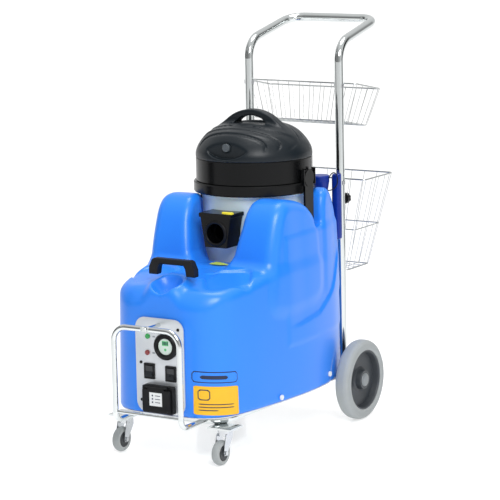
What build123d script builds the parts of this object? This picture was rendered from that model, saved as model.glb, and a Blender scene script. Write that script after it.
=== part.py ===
from build123d import *
import math
import os

os.makedirs("parts", exist_ok=True)

# Carpet cleaner machine, in millimetres. +Z is up, -Y is the front (control panel),
# +Y is the push handle, and X is across. Z = 0 is the floor. X = 0 is the machine's middle plane.

# ---------------------------------------------------------------- driving dimensions
WHEEL_R = 125.0            # big rear wheels, 250 mm
WHEEL_W = 49.0
WHEEL_FACE_X = 285.0       # outer face of each rear wheel
AXLE_Y = 236.5
AXLE_R = 8.0

CASTER_R = 37.5            # 75 mm front casters
CASTER_X = 176.5
CASTER_Y = -422.5          # swivel axis
CASTER_TRAIL = 25.5

TUBE_R = 14.0              # 28 mm chromed tube
TUBE_WALL = 2.0
UPRIGHT_X = 164.5
UPRIGHT_Y = 298.0
RAIL_Z = 125.0
TUBE_JOINT_Z = 800.0       # where the push handle plugs into the chassis uprights
HANDLE_BEND_Z = 1170.0
HANDLE_TOP_Z = 1228.0
HANDLE_TOP_X = 158.5
HANDLE_TOP_Y = 555.0

KNOB_Z = 681.0             # clamp knobs that hold the body to the uprights

GUARD_R = 8.5              # front guard tube
GUARD_X = 115.0
GUARD_Y = -560.5
GUARD_TOP_Z = 411.0

PAN_Z = 139.3
PAN_T = 2.5
BODY_Z = PAN_Z + PAN_T     # underside of the moulded body
DECK_Z = 545.0
EAR_Z = 736.0
WALL_T = 6.0
BODY_FRONT_Y = -492.0
BODY_REAR_Y = 283.0
EAR_FRONT_Y = -205.0
NOTCH_Z = 634.0
HORN_FRONT_Y = 112.0

VAC_Y = 53.0               # axis of the vacuum drum and head
WELL_R = 172.0
WELL_Z = 425.0
DRUM_Z = 431.0
DRUM_TOP_Z = 739.0
DRUM_R = 166.0
RING_R = 187.8
HEAD_Z = 772.0
HEAD_R = 180.0
SEAM_Z = 843.0
DOME_Z = 949.0

PANEL_Y = -492.0           # outer face of the control panel
PANEL_T = 2.5
PANEL_X = 85.0
PANEL_LOW_Z = 144.5
PANEL_TOP_Z = 431.0
PANEL_SCREWS = [(66, 402), (-67, 294), (64, 181), (-67, 181)]

FILLER_X, FILLER_Y, FILLER_Z = 126.0, 238.0, 754.0

FIT = 0.05                 # radial running clearance
GAP = 0.3                  # clearance between parts that move past each other


def save(piece, node_name):
    """Labels a finished sub-part and writes it as one STEP file."""
    piece.part.label = node_name
    export_step(piece.part, f"parts/{node_name}.step")


def bent_line(points, radii):
    """Straight runs through the points, joined by tangent arcs. Call it inside a BuildLine."""
    at = [Vector(*p) for p in points]
    start = at[0]
    for before, corner, after, radius in zip(at, at[1:], at[2:], radii):
        along_in = (corner - before).normalized()
        along_out = (after - corner).normalized()
        half_turn = math.radians(along_in.get_angle(along_out)) / 2
        setback = radius * math.tan(half_turn)
        arc_in = corner - along_in * setback
        arc_out = corner + along_out * setback
        inward = (along_out - along_in).normalized()
        arc_mid = corner + inward * (radius / math.cos(half_turn) - radius)
        Line(start, arc_in)
        ThreePointArc(arc_in, arc_mid, arc_out)
        start = arc_out
    Line(start, at[-1])


def tube_section(path, radius, wall):
    """Ring-shaped section at the start of a path."""
    with BuildSketch(Plane(origin=path.line @ 0, z_dir=path.line % 0)) as section:
        Circle(radius)
        Circle(radius - wall, mode=Mode.SUBTRACT)
    return section.sketch


def cross_plane(x, y, z):
    """Vertical plane facing the front, with its local x along X and its local y along Z."""
    return Plane(origin=(x, y, z), x_dir=(1, 0, 0), z_dir=(0, -1, 0))


def side_name(side):
    return "right" if side > 0 else "left"


# ---------------------------------------------------------------- chassis
with BuildPart() as chassis_frame:
    with BuildLine() as rail_path:
        bent_line(
            [
                (-UPRIGHT_X, UPRIGHT_Y, TUBE_JOINT_Z),
                (-UPRIGHT_X, UPRIGHT_Y, RAIL_Z),
                (-UPRIGHT_X, CASTER_Y, RAIL_Z),
                (UPRIGHT_X, CASTER_Y, RAIL_Z),
                (UPRIGHT_X, UPRIGHT_Y, RAIL_Z),
                (UPRIGHT_X, UPRIGHT_Y, TUBE_JOINT_Z),
            ],
            [48, 70, 70, 48],
        )
    add(sweep(tube_section(rail_path, TUBE_R, TUBE_WALL), rail_path.line))
    caster_plate_z = RAIL_Z - TUBE_R - 1.5
    with Locations((-CASTER_X, CASTER_Y, caster_plate_z), (CASTER_X, CASTER_Y, caster_plate_z)):
        Box(80, 70, 5)
    with Locations(Plane(origin=(0, AXLE_Y, WHEEL_R), z_dir=(1, 0, 0))):
        Cylinder(AXLE_R + FIT, 2 * UPRIGHT_X + 40, mode=Mode.SUBTRACT)
    for side in (-1, 1):
        with Locations(cross_plane(side * UPRIGHT_X, UPRIGHT_Y, KNOB_Z)):
            Cylinder(4.3, 40, mode=Mode.SUBTRACT)
save(chassis_frame, "chassis_frame")

with BuildPart() as push_handle:
    with BuildLine() as handle_path:
        bent_line(
            [
                (-UPRIGHT_X, UPRIGHT_Y, TUBE_JOINT_Z),
                (-UPRIGHT_X, UPRIGHT_Y, HANDLE_BEND_Z),
                (-HANDLE_TOP_X, HANDLE_TOP_Y, HANDLE_TOP_Z),
                (HANDLE_TOP_X, HANDLE_TOP_Y, HANDLE_TOP_Z),
                (UPRIGHT_X, UPRIGHT_Y, HANDLE_BEND_Z),
                (UPRIGHT_X, UPRIGHT_Y, TUBE_JOINT_Z),
            ],
            [70, 55, 55, 70],
        )
    add(sweep(tube_section(handle_path, TUBE_R, TUBE_WALL), handle_path.line))
    # reduced ends that plug into the chassis uprights
    for side in (-1, 1):
        with BuildSketch(Plane.XY.offset(TUBE_JOINT_Z - 50)):
            with Locations((side * UPRIGHT_X, UPRIGHT_Y)):
                Circle(TUBE_R - TUBE_WALL - FIT)
                Circle(TUBE_R - TUBE_WALL - 2, mode=Mode.SUBTRACT)
        extrude(amount=56)
        with BuildSketch(Plane.XY.offset(TUBE_JOINT_Z + 1)):
            with Locations((side * UPRIGHT_X, UPRIGHT_Y)):
                Circle(TUBE_R - 1)
                Circle(TUBE_R - TUBE_WALL - 2, mode=Mode.SUBTRACT)
        extrude(amount=5)
save(push_handle, "push_handle")

with BuildPart() as rear_axle:
    with BuildSketch(Plane.YZ.offset(-276)):
        with Locations((AXLE_Y, WHEEL_R)):
            Circle(AXLE_R)
    extrude(amount=552)
    chamfer(rear_axle.edges().filter_by(GeomType.CIRCLE), 1)
save(rear_axle, "rear_axle")

with BuildPart() as axle_spacers:
    for start_x in (-238.5, 178.8):
        with BuildSketch(Plane.YZ.offset(start_x)):
            with Locations((AXLE_Y, WHEEL_R)):
                Circle(12.5)
                Circle(AXLE_R + FIT, mode=Mode.SUBTRACT)
        extrude(amount=59.7)
save(axle_spacers, "axle_spacers")

# ---------------------------------------------------------------- front guard
with BuildPart() as front_guard:
    with BuildLine() as guard_path:
        bent_line(
            [
                (-GUARD_X, CASTER_Y - TUBE_R, RAIL_Z),
                (-GUARD_X, GUARD_Y, RAIL_Z),
                (-GUARD_X, GUARD_Y, GUARD_TOP_Z),
                (GUARD_X, GUARD_Y, GUARD_TOP_Z),
                (GUARD_X, GUARD_Y, RAIL_Z),
                (GUARD_X, CASTER_Y - TUBE_R, RAIL_Z),
            ],
            [28, 45, 45, 28],
        )
    with BuildSketch(Plane(origin=guard_path.line @ 0, z_dir=guard_path.line % 0)):
        Circle(GUARD_R)
    sweep(path=guard_path.line)
    with Locations(Plane(origin=(0, GUARD_Y, 154), z_dir=(1, 0, 0))):
        Cylinder(4.5, 2 * GUARD_X)
    # flattened middle of the top bar, drilled for the stay bolt
    with Locations((0, GUARD_Y - 8, GUARD_TOP_Z)):
        Box(28, 10, 30, mode=Mode.SUBTRACT)
    with Locations(Plane(origin=(0, GUARD_Y, GUARD_TOP_Z), z_dir=(0, 1, 0))):
        Cylinder(3.2, 40, mode=Mode.SUBTRACT)
save(front_guard, "front_guard")

with BuildPart() as guard_stay:
    with BuildSketch(Plane(origin=(0, PANEL_Y, GUARD_TOP_Z), z_dir=(0, -1, 0))):
        Circle(6)
    extrude(amount=PANEL_Y - GUARD_Y - GUARD_R)
    with BuildSketch(Plane(origin=(0, GUARD_Y + GUARD_R, GUARD_TOP_Z), z_dir=(0, -1, 0))):
        Circle(3)
    extrude(amount=12.5)
    # its dome nut, a solid of its own on the flattened middle of the guard
    nut_plane = cross_plane(0, GUARD_Y - 3.05, GUARD_TOP_Z)
    with BuildSketch(nut_plane):
        RegularPolygon(7, 6)
        Circle(3.1, mode=Mode.SUBTRACT)
    extrude(amount=2.2)
    with BuildSketch(nut_plane):
        Circle(5.4)
        Circle(3.1, mode=Mode.SUBTRACT)
    extrude(amount=4.2)
    with BuildSketch(nut_plane.offset(4.2)):
        Circle(5.4)
    extrude(amount=1.2, taper=40)
save(guard_stay, "guard_stay")

# ---------------------------------------------------------------- casters
with BuildPart() as caster_heads:
    for side in (-1, 1):
        with BuildSketch(Plane.XY.offset(95)):
            with Locations((side * CASTER_X, CASTER_Y)):
                Circle(22.5)
        extrude(amount=12)
        with BuildSketch(Plane.XY.offset(83)):
            with Locations((side * CASTER_X, CASTER_Y)):
                Circle(5)
        extrude(amount=12)
    chamfer(caster_heads.faces().sort_by(Axis.Z)[-1].edges(), 1.5)
save(caster_heads, "caster_heads")

CASTER_WHEEL_Y = CASTER_Y - CASTER_TRAIL


def caster_fork(x):
    """Stamped fork: a crown under the swivel head and two tapering legs."""
    with BuildPart() as fork:
        with BuildSketch(Plane.XY.offset(84)):
            with Locations((x, CASTER_Y)):
                Circle(20.5)
                Circle(5 + FIT, mode=Mode.SUBTRACT)
        extrude(amount=10.7)
        for leg_x in (x - 17, x + 14.5):
            with BuildSketch(Plane.YZ.offset(leg_x)):
                with BuildLine():
                    Polyline(
                        (CASTER_Y - 19, 92),
                        (CASTER_Y - 24, 80),
                        (CASTER_WHEEL_Y - 9, CASTER_R + 2),
                        (CASTER_WHEEL_Y - 5, CASTER_R - 7.5),
                        (CASTER_WHEEL_Y + 5, CASTER_R - 7.5),
                        (CASTER_WHEEL_Y + 11, CASTER_R),
                        (CASTER_Y + 15, 78),
                        (CASTER_Y + 15, 92),
                        close=True,
                    )
                make_face()
                with Locations((CASTER_WHEEL_Y, CASTER_R)):
                    Circle(4, mode=Mode.SUBTRACT)
            extrude(amount=2.5)
    return fork


def caster_tyre(x):
    with BuildPart() as tyre:
        with BuildSketch(cross_plane(x, CASTER_WHEEL_Y, CASTER_R)):
            with BuildLine():
                Line((-11, 24), (11, 24))
                Line((11, 24), (11, 33))
                ThreePointArc((11, 33), (0, CASTER_R), (-11, 33))
                Line((-11, 33), (-11, 24))
            make_face()
        revolve(axis=Axis((x, CASTER_WHEEL_Y, CASTER_R), (1, 0, 0)))
    return tyre


def caster_core(x):
    """Wheel centre with its two dust discs and the running bore."""
    with BuildPart() as core:
        with BuildSketch(cross_plane(x, CASTER_WHEEL_Y, CASTER_R)):
            with BuildLine():
                Polyline(
                    (-14, 4 + FIT), (14, 4 + FIT), (14, 9), (12.4, 12), (12.4, 22), (10, 24),
                    (-10, 24), (-12.4, 22), (-12.4, 12), (-14, 9), close=True,
                )
            make_face()
        revolve(axis=Axis((x, CASTER_WHEEL_Y, CASTER_R), (1, 0, 0)))
    return core


def caster_bolt(x):
    """Axle bolt of one caster, with its head and its nut."""
    with BuildPart() as bolt:
        with BuildSketch(Plane.YZ.offset(x - 17)):
            with Locations((CASTER_WHEEL_Y, CASTER_R)):
                Circle(4)
        extrude(amount=34)
        for end_x, outward in ((x - 17, -1), (x + 17, 1)):
            with BuildSketch(Plane(origin=(end_x, CASTER_WHEEL_Y, CASTER_R), z_dir=(outward, 0, 0))):
                RegularPolygon(7, 6)
            extrude(amount=5)
    return bolt


for side in (-1, 1):
    caster = f"caster_{side_name(side)}"
    save(caster_fork(side * CASTER_X), f"{caster}_fork")
    save(caster_tyre(side * CASTER_X), f"{caster}_tyre")
    save(caster_core(side * CASTER_X), f"{caster}_core")
    save(caster_bolt(side * CASTER_X), f"{caster}_bolt")


# ---------------------------------------------------------------- rear wheels
def wheel_profile(side, corners):
    """Closed half section of a rear wheel: (distance in from the outer face, radius) pairs."""
    with BuildSketch(cross_plane(0, AXLE_Y, WHEEL_R)) as half:
        with BuildLine():
            Polyline([(side * (WHEEL_FACE_X - inward), r) for inward, r in corners], close=True)
        make_face()
    return half.sketch


def wheel_part(side, corners):
    with BuildPart() as turned:
        add(revolve(wheel_profile(side, corners), Axis((0, AXLE_Y, WHEEL_R), (1, 0, 0))))
    return turned


TYRE = [(3, 94), (0.5, 97), (0, 104), (2, 115), (7, 121.5), (14, 124.4), (20, WHEEL_R), (29, WHEEL_R),
        (35, 124.4), (42, 121.5), (47, 115), (49, 104), (48.5, 97), (46, 94)]
RIM = [(5, 94), (5, 90), (8, 88), (24, 84), (26, 40), (22, 32), (6, 29), (6, 21.3), (12, 21.3), (12, AXLE_R + FIT),
       (46, AXLE_R + FIT), (46, 30), (34, 32), (32, 84), (44, 88), (44, 94)]
CAP = [(1, 0), (1.5, 14), (4, 20), (6, 21), (11.5, 21), (11.5, 18), (6, 18), (4.5, 0)]

for side in (-1, 1):
    wheel = f"wheel_{side_name(side)}"
    save(wheel_part(side, TYRE), f"{wheel}_tyre")
    save(wheel_part(side, RIM), f"{wheel}_rim")
    save(wheel_part(side, CAP), f"{wheel}_cap")


# ---------------------------------------------------------------- moulded tank body
PLAN_POINTS = [(0, BODY_FRONT_Y), (95, BODY_FRONT_Y + 1), (157, -466), (197, -414), (217, -330), (230, -240),
               (241, -110), (243, -10), (235, 90), (220, 170), (188, 243), (138, 277), (0, BODY_REAR_Y)]


def plan_outline(z, draft):
    """Plan of the body at height z, drawn in on all sides by draft."""
    def drawn_in(x, y):
        middle_y = (BODY_FRONT_Y + BODY_REAR_Y) / 2
        scale_x = 1 - draft / 243
        scale_y = 1 - draft / (BODY_REAR_Y - middle_y)
        return (x * scale_x, middle_y + (y - middle_y) * scale_y)

    right_points = [drawn_in(x, y) for x, y in PLAN_POINTS]
    left_points = [(-x, y) for x, y in reversed(right_points)]
    with BuildSketch(Plane.XY.offset(z)) as outline:
        with BuildLine():
            Spline(right_points + left_points[1:-1], periodic=True)
        make_face()
    return outline.sketch.face()


def body_volume(inset, base_z):
    """Volume of the moulded body, with every wall moved in by inset, from base_z up."""
    deck = DECK_Z - inset
    ear_top = EAR_Z - inset
    with BuildPart() as block:
        loft([plan_outline(base_z, inset), plan_outline(deck, inset + 9)])

    # the ears beside the drum, the latch notch, and the horns at the rear corners
    with BuildPart() as walls:
        loft([plan_outline(deck - 2, inset + 9), plan_outline(ear_top, inset + 16)])
        with BuildSketch(Plane.YZ.offset(-300)):
            with BuildLine():
                front = EAR_FRONT_Y + inset
                rise = HORN_FRONT_Y + inset
                Line((front - 12, 400), (front - 12, deck))
                Spline((front - 12, deck), (front + 14, 640), (front + 45, ear_top - 22), (-105, ear_top),
                       (-20, ear_top - 16), (40, ear_top - 52), (76 - inset / 2, NOTCH_Z - inset))
                Line((76 - inset / 2, NOTCH_Z - inset), (rise - 14, NOTCH_Z - inset))
                Spline((rise - 14, NOTCH_Z - inset), (rise, ear_top - 40), (rise + 36, ear_top),
                       (rise + 80, ear_top - 14), (rise + 118 - inset, ear_top - 60),
                       (rise + 140 - 2 * inset, ear_top - 130))
                Polyline((rise + 140 - 2 * inset, ear_top - 130), (BODY_REAR_Y + 10, 480),
                         (BODY_REAR_Y + 10, 400), (front - 12, 400))
            make_face()
        extrude(amount=600, mode=Mode.INTERSECT)

    with BuildPart() as volume:
        add(block.part)
        add(walls.part)
        # rear corner lugs that the clamp knobs pull against the uprights
        for side in (-1, 1):
            with Locations((side * UPRIGHT_X, 270.5, 600)):
                Box(30 - 2 * inset, 25 - 2 * inset, 2 * (766 - inset - 600))
        # open middle behind the drum, between the horns
        with Locations((0, 155, 640 - inset + 100)):
            Box(2 * (150 + inset), 206 + 2 * inset, 200, mode=Mode.SUBTRACT)
        # well for the drum
        with BuildSketch(Plane.XY.offset(WELL_Z - inset)):
            with Locations((0, VAC_Y)):
                Circle(WELL_R + inset)
        extrude(amount=400, mode=Mode.SUBTRACT)
        # mouth between the ears, in front of the drum
        with BuildSketch(cross_plane(0, -340, 0)):
            with BuildLine():
                Polyline(
                    (-104 - inset, 800), (-92 - inset, 660), (-76 - inset, 575), (-52 - inset, 541 - inset),
                    (52 + inset, 541 - inset), (76 + inset, 575), (92 + inset, 660), (104 + inset, 800),
                    close=True,
                )
            make_face()
        extrude(amount=-340, mode=Mode.SUBTRACT)
        # pockets for the side latches
        for side in (-1, 1):
            with Locations((side * (150 + (51 + inset) / 2), 62, NOTCH_Z - inset + 100)):
                Box(51 + inset, 66 + 2 * inset, 200, mode=Mode.SUBTRACT)
        # wheel arches
        for side in (-1, 1):
            with Locations(Plane(origin=(side * (231 - inset + 50), AXLE_Y, WHEEL_R), z_dir=(1, 0, 0))):
                Cylinder(133 + inset, 100, mode=Mode.SUBTRACT)
    return volume.part


with BuildPart() as tank_body:
    add(body_volume(0, BODY_Z))
    add(body_volume(WALL_T, BODY_Z - 1), mode=Mode.SUBTRACT)
    # recess and opening for the control panel
    with BuildSketch(cross_plane(0, PANEL_Y + PANEL_T, 0)):
        with Locations((0, (PANEL_LOW_Z + PANEL_TOP_Z) / 2)):
            Rectangle(2 * PANEL_X + 6, PANEL_TOP_Z - PANEL_LOW_Z + 6)
    extrude(amount=30, mode=Mode.SUBTRACT)
    with Locations((0, PANEL_Y, 280)):
        Box(116, 60, 244, mode=Mode.SUBTRACT)
    # finger scoop under the lift handle
    with Locations((0, -428, DECK_Z + 12)):
        Box(72, 44, 40, mode=Mode.SUBTRACT)
    # bolt holes for the base pan, and for the clamp knob studs
    for bolt_y, bolt_z in ((-200, 157), (88, 170)):
        with Locations(Plane(origin=(0, bolt_y, bolt_z), z_dir=(1, 0, 0))):
            Cylinder(4.2, 600, mode=Mode.SUBTRACT)
    for side in (-1, 1):
        with Locations(cross_plane(side * UPRIGHT_X, 270, KNOB_Z)):
            Cylinder(4.3, 60, mode=Mode.SUBTRACT)
        # room for the bend of each chassis upright
        with Locations((side * UPRIGHT_X, 275, 170)):
            Box(33, 46, 70, mode=Mode.SUBTRACT)
    for x, z in PANEL_SCREWS:
        with Locations(cross_plane(x, PANEL_Y, z)):
            Cylinder(2.3, 40, mode=Mode.SUBTRACT)
    # opening for the filler neck
    with Locations((FILLER_X, FILLER_Y, 635)):
        Cylinder(21.5 + FIT, 40, mode=Mode.SUBTRACT)
save(tank_body, "tank_body")

with BuildPart() as base_pan:
    with BuildSketch(Plane.XY.offset(PAN_Z)) as pan_plan:
        add(plan_outline(PAN_Z, 3))
    extrude(amount=PAN_T)
    # flange inside the body's skirt, where the body bolts fasten
    with BuildSketch(Plane.XY.offset(PAN_Z)):
        add(plan_outline(PAN_Z, 8))
        add(plan_outline(PAN_Z, 10), mode=Mode.SUBTRACT)
    extrude(amount=38)
    for middle_y in (PANEL_Y, BODY_REAR_Y):
        with Locations((0, middle_y, PAN_Z + PAN_T + 25)):
            Box(150, 60, 50, mode=Mode.SUBTRACT)
    for side in (-1, 1):
        with Locations((side * UPRIGHT_X, 275, 170)):
            Box(33, 46, 70, mode=Mode.SUBTRACT)
        with Locations(Plane(origin=(side * 274, AXLE_Y, WHEEL_R), z_dir=(1, 0, 0))):
            Cylinder(141, 100, mode=Mode.SUBTRACT)
    for bolt_y, bolt_z in ((-200, 157), (88, 170)):
        with Locations(Plane(origin=(0, bolt_y, bolt_z), z_dir=(1, 0, 0))):
            Cylinder(4.2, 600, mode=Mode.SUBTRACT)
save(base_pan, "base_pan")

# body bolts: domed screws through the skirt into the pan's flange
with BuildPart() as body_bolts:
    for side, bolt_y, bolt_z, skin_x in ((-1, -200, 157, 235), (1, -200, 157, 235), (-1, 88, 170, 235), (1, 88, 170, 235)):
        bolt_plane = Plane(origin=(side * (skin_x - 16), bolt_y, bolt_z), z_dir=(side, 0, 0))
        with BuildSketch(bolt_plane):
            Circle(4)
        extrude(amount=18)
        with BuildSketch(bolt_plane.offset(17.5)):
            Circle(8)
        extrude(amount=4.5)
save(body_bolts, "body_bolts")

# ---------------------------------------------------------------- control panel
GAUGE_X, GAUGE_Z, GAUGE_R = 24, 349, 40
LAMPS = {"green_lamp": (-41, 374), "red_lamp": (-43, 325)}
ROCKERS = {"left": (-37, 270), "right": (38, 268)}
SOCKET_X, SOCKET_Z = 0, 190


def on_panel(x, z, proud=0.0):
    """Plane on the control panel at (x, z), facing the front, with its local x along X."""
    return cross_plane(x, PANEL_Y - proud, z)


with BuildPart() as control_panel:
    with BuildSketch(on_panel(0, 0)):
        with BuildLine():
            Polyline((-PANEL_X, PANEL_LOW_Z), (PANEL_X, PANEL_LOW_Z), (PANEL_X, PANEL_TOP_Z), (-PANEL_X, PANEL_TOP_Z),
                     close=True)
        panel_face = make_face()
        fillet(panel_face.vertices().group_by(Axis.Z)[-1], 34)
        fillet(panel_face.vertices().group_by(Axis.Z)[0], 8)
    extrude(amount=-PANEL_T)
    for x, z in LAMPS.values():
        with Locations(on_panel(x, z)):
            Cylinder(6.2, 20, mode=Mode.SUBTRACT)
    with Locations(on_panel(GAUGE_X, GAUGE_Z)):
        Cylinder(31, 20, mode=Mode.SUBTRACT)
    for x, z in ROCKERS.values():
        with Locations(on_panel(x, z)):
            Box(30, 40, 20, mode=Mode.SUBTRACT)
    with Locations(on_panel(SOCKET_X, SOCKET_Z)):
        Cylinder(24, 20, mode=Mode.SUBTRACT)
    with Locations(on_panel(0, GUARD_TOP_Z)):
        Cylinder(6.1, 2, mode=Mode.SUBTRACT)
    for x, z in PANEL_SCREWS:
        with Locations(on_panel(x, z)):
            Cylinder(2.2, 20, mode=Mode.SUBTRACT)
save(control_panel, "control_panel")

with BuildPart() as panel_screws:
    for x, z in PANEL_SCREWS:
        with BuildSketch(on_panel(x, z, proud=-8)):
            Circle(2.1)
        extrude(amount=8)
        with BuildSketch(on_panel(x, z)):
            Circle(4.6)
        extrude(amount=2.4)
    chamfer(panel_screws.faces().group_by(Axis.Y)[0].edges(), 0.8)
save(panel_screws, "panel_screws")

for lamp_name, (x, z) in LAMPS.items():
    with BuildPart() as lamp:
        with BuildSketch(on_panel(x, z, proud=-14)):
            Circle(6)
        extrude(amount=14)
        with BuildSketch(on_panel(x, z)):
            Circle(7.8)
        extrude(amount=5)
        fillet(lamp.faces().sort_by(Axis.Y)[0].edges(), 2.5)
    save(lamp, lamp_name)

def turned_on_panel(x, z, corners):
    """Solid of revolution about the panel's normal at (x, z), from (radius, outward) corners."""
    with BuildPart() as turned:
        with BuildSketch(Plane(origin=(x, PANEL_Y, z), x_dir=(1, 0, 0), z_dir=(0, 0, 1))):
            with BuildLine():
                Polyline([(r, -outward) for r, outward in corners], close=True)
            make_face()
        revolve(axis=Axis((x, PANEL_Y, z), (0, 1, 0)))
    return turned


save(turned_on_panel(GAUGE_X, GAUGE_Z, [(24, 0), (GAUGE_R, 0), (GAUGE_R, 7), (36, 12), (29, 13), (26, 10), (24, 6)]),
     "gauge_bezel")
save(turned_on_panel(GAUGE_X, GAUGE_Z, [(0, -25), (30, -25), (30, 0), (23.9, 0), (23.9, 6), (0, 6)]), "gauge_body")

with BuildPart() as switch_bezels:
    for x, z in ROCKERS.values():
        with BuildSketch(on_panel(x, z)):
            RectangleRounded(37, 47, 2)
            Rectangle(26, 36, mode=Mode.SUBTRACT)
        extrude(amount=3.5)
        with BuildSketch(on_panel(x, z)):
            Rectangle(29.4, 39.4)
            Rectangle(26, 36, mode=Mode.SUBTRACT)
        extrude(amount=-20)
save(switch_bezels, "switch_bezels")

for switch_side, (x, z) in ROCKERS.items():
    with BuildPart() as rocker:
        # wedge that is pressed at its top or its bottom, on a pin across its middle
        with BuildSketch(Plane.YZ.offset(x - 12.5)):
            with BuildLine():
                Polyline((PANEL_Y - 4.5, z + 16), (PANEL_Y - 3.5, z), (PANEL_Y - 8.5, z - 16), (PANEL_Y - 2, z - 16),
                         (PANEL_Y + 5, z - 5), (PANEL_Y + 5, z + 5), (PANEL_Y - 1, z + 16), close=True)
            make_face()
        extrude(amount=25)
        with Locations(Plane(origin=(x, PANEL_Y - 0.5, z), z_dir=(1, 0, 0))):
            Cylinder(1.5, 25.8)
    save(rocker, f"rocker_{switch_side}")

with BuildPart() as socket_box:
    with BuildSketch(on_panel(SOCKET_X, SOCKET_Z)):
        RectangleRounded(106, 82, 5)
        Circle(20, mode=Mode.SUBTRACT)
    extrude(amount=18)
    # hinge lugs on the top edge
    for x in (-34, 34):
        with BuildSketch(Plane.YZ.offset(x - 5)):
            with Locations((PANEL_Y - 23, SOCKET_Z + 40)):
                Circle(4.5)
            with Locations((PANEL_Y - 19, SOCKET_Z + 37)):
                Rectangle(10, 6)
            with Locations((PANEL_Y - 23, SOCKET_Z + 40)):
                Circle(1.5 + FIT, mode=Mode.SUBTRACT)
        extrude(amount=10)
    # cup behind the panel with its floor, where the contacts are
    with BuildSketch(on_panel(SOCKET_X, SOCKET_Z)):
        Circle(23.8)
        Circle(20, mode=Mode.SUBTRACT)
    extrude(amount=-28)
    with BuildSketch(on_panel(SOCKET_X, SOCKET_Z, proud=-28)):
        Circle(23.8)
        with Locations((-9.5, 0), (9.5, 0)):
            Circle(2.4, mode=Mode.SUBTRACT)
    extrude(amount=-4)
save(socket_box, "socket_box")

SOCKET_HINGE = (SOCKET_X, PANEL_Y - 23, SOCKET_Z + 40)
with BuildPart() as socket_lid:
    with BuildSketch(on_panel(SOCKET_X, SOCKET_Z - 3, proud=18 + GAP)):
        RectangleRounded(98, 70, 5)
    extrude(amount=9)
    chamfer(socket_lid.faces().sort_by(Axis.Y)[0].edges(), 2)
    with Locations(Plane(origin=SOCKET_HINGE, z_dir=(1, 0, 0))):
        Cylinder(4.5, 57)
    with Locations((SOCKET_X, PANEL_Y - 24, SOCKET_Z + 34)):
        Box(57, 6, 10)
    with Locations(Plane(origin=SOCKET_HINGE, z_dir=(1, 0, 0))):
        Cylinder(1.5, 84)
save(socket_lid, "socket_lid")

with BuildPart() as control_box:
    with Locations((0, -443, 290)):
        Box(130, 34, 220)
    with Locations((0, -459, 290)):
        Box(122, 8, 212, mode=Mode.SUBTRACT)
save(control_box, "control_box")

# ---------------------------------------------------------------- lift handle on the front edge
LIFT_Y = -408.0
with BuildPart() as lift_handle:
    with BuildSketch(cross_plane(0, LIFT_Y, DECK_Z)):
        with BuildLine():
            Polyline((-80, 0), (-52, 0), (-48, 24), (-43, 32), (43, 32), (48, 24), (52, 0), (80, 0), (79, 22),
                     (69, 44), (62, 49), (-62, 49), (-69, 44), (-79, 22), close=True)
        make_face()
    extrude(amount=12, both=True)
    chamfer(lift_handle.edges().filter_by(Axis.X), 3)
save(lift_handle, "lift_handle")

# ---------------------------------------------------------------- filler neck and its cap
with BuildPart() as filler_neck:
    with BuildSketch(cross_plane(FILLER_X, FILLER_Y, 0)):
        with BuildLine():
            Polyline((18.5, 628), (21.5, 628), (21.5, 700), (29, 745), (29, FILLER_Z), (25.5, FILLER_Z), (25.5, 746),
                     (18.5, 702), close=True)
        make_face()
    revolve(axis=Axis((FILLER_X, FILLER_Y, 0), (0, 0, 1)))
save(filler_neck, "filler_neck")

with BuildPart() as filler_cap:
    with BuildSketch(cross_plane(FILLER_X, FILLER_Y, 0)):
        with BuildLine():
            Polyline((0, 738), (24.6, 746.5), (25.1, FILLER_Z + GAP), (29.5, FILLER_Z + GAP), (29.5, FILLER_Z + 7),
                     (27, FILLER_Z + 10), (0, FILLER_Z + 10), close=True)
        make_face()
    revolve(axis=Axis((FILLER_X, FILLER_Y, 0), (0, 0, 1)))
save(filler_cap, "filler_cap")

# ---------------------------------------------------------------- clamp knobs behind the uprights
for side in (-1, 1):
    with BuildPart() as clamp_knob:
        knob_plane = Plane(origin=(side * UPRIGHT_X, UPRIGHT_Y + TUBE_R + GAP, KNOB_Z), z_dir=(0, 1, 0))
        with BuildSketch(knob_plane):
            Circle(10)
        extrude(amount=6)
        with BuildSketch(knob_plane.offset(6)):
            Circle(17)
            with PolarLocations(20.5, 8):
                Circle(5, mode=Mode.SUBTRACT)
        extrude(amount=18)
        fillet(clamp_knob.faces().sort_by(Axis.Y)[-1].edges(), 1.5)
        # stud through the upright into the body's lug
        with BuildSketch(knob_plane):
            Circle(4.2)
        extrude(amount=-46)
    save(clamp_knob, f"clamp_knob_{side_name(side)}")


# ---------------------------------------------------------------- recovery drum
def turned_on_drum_axis(corners):
    """Solid of revolution about the drum's axis, from (radius, height) corners."""
    with BuildPart() as turned:
        with BuildSketch(cross_plane(0, VAC_Y, 0)):
            with BuildLine():
                Polyline(corners, close=True)
            make_face()
        revolve(axis=Axis((0, VAC_Y, 0), (0, 0, 1)))
    return turned


INLET_Z = 633.0
INLET_R = 30.0
recovery_drum = turned_on_drum_axis([
    (0, DRUM_Z), (142, DRUM_Z), (150, DRUM_Z + 8), (DRUM_R - 3, DRUM_TOP_Z - 12), (DRUM_R + 4, DRUM_TOP_Z - 5),
    (DRUM_R + 4, DRUM_TOP_Z), (DRUM_R - 6, DRUM_TOP_Z), (DRUM_R - 6, DRUM_TOP_Z - 12), (147, DRUM_Z + 9),
    (141, DRUM_Z + 3), (0, DRUM_Z + 3),
])
with recovery_drum:
    with Locations(Plane(origin=(0, VAC_Y - 150, INLET_Z), z_dir=(0, 1, 0))):
        Cylinder(INLET_R - 3, 60, mode=Mode.SUBTRACT)
save(recovery_drum, "recovery_drum")

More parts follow.
